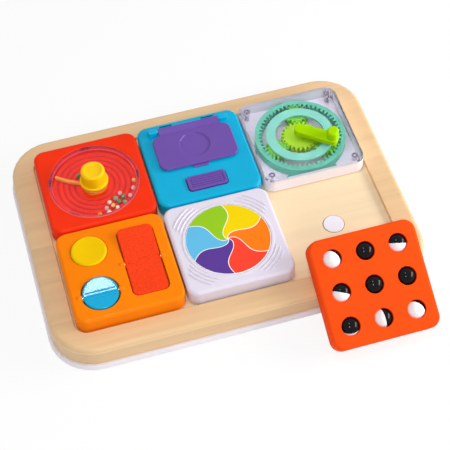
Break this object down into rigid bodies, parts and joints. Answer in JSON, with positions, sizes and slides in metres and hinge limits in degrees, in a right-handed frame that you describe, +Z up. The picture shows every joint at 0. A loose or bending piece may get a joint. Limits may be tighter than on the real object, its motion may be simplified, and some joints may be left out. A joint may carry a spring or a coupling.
{
  "type": "busy board",
  "caption": "Wooden tray with a recess of magnetic play tiles: beads, flip lid, gears, switches, colour wheel and rolling balls, one tile lying loose.",
  "frame": {"origin": "on the table under the centre of the tray's base panel", "axes": "+X to the right along the tray's long side, +Y to the back, +Z up"},
  "size_m": [0.341, 0.2922, 0.0585],
  "materials": {
    "pale_wood": "clear matt lacquer on pale pine",
    "white_panel": "satin white paint",
    "disc_white": "white coated disc",
    "steel": "plain zinc",
    "magnet": "dull grey coating",
    "red": "glossy moulded plastic",
    "clear": "clear polished plastic",
    "amber": "translucent moulded plastic",
    "yellow": "glossy moulded plastic",
    "bead_mix": "small glossy beads in several colours",
    "sky": "glossy moulded plastic",
    "purple": "glossy moulded plastic",
    "mirror": "acrylic mirror",
    "teal": "satin moulded plastic",
    "lime": "glossy moulded plastic",
    "leaf": "satin moulded plastic",
    "orange": "glossy moulded plastic",
    "blue": "glossy moulded plastic",
    "scarlet": "finely textured plastic",
    "lilac_white": "glossy moulded plastic",
    "six_colours": "six coloured sectors under gloss",
    "vermilion": "satin moulded plastic",
    "two_tone": "half black and half white, glossy"
  },
  "bodies": {
    "tray": {"wood_tray": "pale_wood", "base_panel": "white_panel", "magnet_discs": "disc_white", "base_screws": "steel"},
    "bead_tile": {"bead_shell": "red", "bead_back": "red", "bead_magnet": "magnet", "bead_screws": "steel", "bead_window": "clear"},
    "bead_turner": {"bead_knob": "yellow", "bead_sweeper": "amber"},
    "bead_load": {"beads": "bead_mix"},
    "flip_tile": {"flip_shell": "sky", "flip_back": "sky", "flip_magnet": "magnet", "flip_screws": "steel", "lid_hinge_pin": "steel", "peek_mirror": "mirror", "release_spring": "steel"},
    "lid": {"flip_lid": "purple"},
    "release": {"release_button": "purple"},
    "gear_tile": {"gear_shell": "clear", "gear_back": "clear", "gear_magnet": "magnet", "gear_screws": "steel", "ring_gear": "teal"},
    "crank": {"crank_handle": "lime", "sun_gear": "lime"},
    "carrier": {"planet_carrier": "teal"},
    "planet_1": {"planet_gear_1": "leaf"},
    "planet_2": {"planet_gear_2": "leaf"},
    "planet_3": {"planet_gear_3": "leaf"},
    "switch_tile": {"switch_shell": "orange", "switch_back": "orange", "switch_magnet": "magnet", "switch_screws": "steel", "button_spring": "steel", "rocker_pins": "steel"},
    "push": {"round_button": "yellow"},
    "disc_switch": {"round_rocker": "blue"},
    "bar_switch": {"long_rocker": "scarlet"},
    "wheel_tile": {"wheel_shell": "lilac_white", "wheel_back": "lilac_white", "wheel_magnet": "magnet", "wheel_screws": "steel"},
    "wheel": {"colour_wheel": "six_colours", "wheel_axle": "lilac_white"},
    "ball_tile": {"ball_shell": "vermilion", "ball_back": "vermilion", "ball_magnet": "magnet", "ball_screws": "steel"},
    "roller_1": {"ball_1": "two_tone"},
    "roller_2": {"ball_2": "two_tone"},
    "roller_3": {"ball_3": "two_tone"},
    "roller_4": {"ball_4": "two_tone"},
    "roller_5": {"ball_5": "two_tone"},
    "roller_6": {"ball_6": "two_tone"},
    "roller_7": {"ball_7": "two_tone"},
    "roller_8": {"ball_8": "two_tone"},
    "roller_9": {"ball_9": "two_tone"}
  },
  "joints": [
    {"name": "bead_tile_lift", "type": "slide", "parent": "tray", "child": "bead_tile", "axis": [0, 0, 1], "range_m": [0, 0.03]},
    {"name": "flip_tile_lift", "type": "slide", "parent": "tray", "child": "flip_tile", "axis": [0, 0, 1], "range_m": [0, 0.03]},
    {"name": "gear_tile_lift", "type": "slide", "parent": "tray", "child": "gear_tile", "axis": [0, 0, 1], "range_m": [0, 0.03]},
    {"name": "switch_tile_lift", "type": "slide", "parent": "tray", "child": "switch_tile", "axis": [0, 0, 1], "range_m": [0, 0.03]},
    {"name": "wheel_tile_lift", "type": "slide", "parent": "tray", "child": "wheel_tile", "axis": [0, 0, 1], "range_m": [0, 0.03]},
    {"name": "ball_tile_lift", "type": "slide", "parent": "tray", "child": "ball_tile", "axis": [0, 0, 1], "range_m": [0, 0.03]},
    {"name": "knob_turn", "type": "hinge", "parent": "bead_tile", "child": "bead_turner", "pos_m": [-0.0975, 0.04875, 0.0386], "axis": [0, 0, 1], "continuous": true},
    {"name": "bead_drift", "type": "hinge", "parent": "bead_tile", "child": "bead_load", "pos_m": [-0.0975, 0.04875, 0.0386], "axis": [0, 0, 1], "continuous": true},
    {"name": "lid_hinge", "type": "hinge", "parent": "flip_tile", "child": "lid", "pos_m": [0, 0.08575, 0.0413], "axis": [-1, 0, 0], "range_deg": [0, 110]},
    {"name": "release_press", "type": "slide", "parent": "flip_tile", "child": "release", "axis": [0, 0, -1], "range_m": [0, 0.002], "stiffness_N_per_m": 300, "springref_m": -0.002, "deforming": ["release_spring"]},
    {"name": "crank_turn", "type": "hinge", "parent": "gear_tile", "child": "crank", "pos_m": [0.0975, 0.04875, 0.0386], "axis": [0, 0, 1], "continuous": true},
    {"name": "carrier_turn", "type": "hinge", "parent": "gear_tile", "child": "carrier", "pos_m": [0.0975, 0.04875, 0.0346], "axis": [0, 0, 1], "continuous": true},
    {"name": "planet_1_spin", "type": "hinge", "parent": "carrier", "child": "planet_1", "pos_m": [0.10207, 0.07465, 0.0296], "axis": [0, 0, 1], "continuous": true},
    {"name": "planet_2_spin", "type": "hinge", "parent": "carrier", "child": "planet_2", "pos_m": [0.07279, 0.03975, 0.0296], "axis": [0, 0, 1], "continuous": true},
    {"name": "planet_3_spin", "type": "hinge", "parent": "carrier", "child": "planet_3", "pos_m": [0.11765, 0.03184, 0.0296], "axis": [0, 0, 1], "continuous": true},
    {"name": "push_press", "type": "slide", "parent": "switch_tile", "child": "push", "axis": [0, 0, -1], "range_m": [0, 0.0025], "stiffness_N_per_m": 300, "springref_m": -0.002, "deforming": ["button_spring"]},
    {"name": "disc_rock", "type": "hinge", "parent": "switch_tile", "child": "disc_switch", "pos_m": [-0.119, -0.07125, 0.0366], "axis": [-1, 0, 0], "range_deg": [0, 14]},
    {"name": "bar_rock", "type": "hinge", "parent": "switch_tile", "child": "bar_switch", "pos_m": [-0.0765, -0.04775, 0.0366], "axis": [-1, 0, 0], "range_deg": [0, 7]},
    {"name": "wheel_spin", "type": "hinge", "parent": "wheel_tile", "child": "wheel", "pos_m": [0, -0.04875, 0.0386], "axis": [0, 0, 1], "continuous": true},
    {"name": "ball_1_roll", "type": "hinge", "parent": "ball_tile", "child": "roller_1", "pos_m": [0.0764, -0.10043, 0.04595], "axis": [1, 0, 0], "continuous": true},
    {"name": "ball_2_roll", "type": "hinge", "parent": "ball_tile", "child": "roller_2", "pos_m": [0.1059, -0.10043, 0.04595], "axis": [1, 0, 0], "continuous": true},
    {"name": "ball_3_roll", "type": "hinge", "parent": "ball_tile", "child": "roller_3", "pos_m": [0.1354, -0.10043, 0.04595], "axis": [1, 0, 0], "continuous": true},
    {"name": "ball_4_roll", "type": "hinge", "parent": "ball_tile", "child": "roller_4", "pos_m": [0.0764, -0.12648, 0.0321], "axis": [1, 0, 0], "continuous": true},
    {"name": "ball_5_roll", "type": "hinge", "parent": "ball_tile", "child": "roller_5", "pos_m": [0.1059, -0.12648, 0.0321], "axis": [1, 0, 0], "continuous": true},
    {"name": "ball_6_roll", "type": "hinge", "parent": "ball_tile", "child": "roller_6", "pos_m": [0.1354, -0.12648, 0.0321], "axis": [1, 0, 0], "continuous": true},
    {"name": "ball_7_roll", "type": "hinge", "parent": "ball_tile", "child": "roller_7", "pos_m": [0.0764, -0.15252, 0.01825], "axis": [1, 0, 0], "continuous": true},
    {"name": "ball_8_roll", "type": "hinge", "parent": "ball_tile", "child": "roller_8", "pos_m": [0.1059, -0.15252, 0.01825], "axis": [1, 0, 0], "continuous": true},
    {"name": "ball_9_roll", "type": "hinge", "parent": "ball_tile", "child": "roller_9", "pos_m": [0.1354, -0.15252, 0.01825], "axis": [1, 0, 0], "continuous": true}
  ],
  "couplings": [
    {"joint": "bead_drift", "follows": "knob_turn", "ratio": 1},
    {"joint": "carrier_turn", "follows": "crank_turn", "ratio": 0.30769},
    {"joint": "planet_1_spin", "follows": "crank_turn", "ratio": -1.1077},
    {"joint": "planet_2_spin", "follows": "crank_turn", "ratio": -1.1077},
    {"joint": "planet_3_spin", "follows": "crank_turn", "ratio": -1.1077}
  ]
}
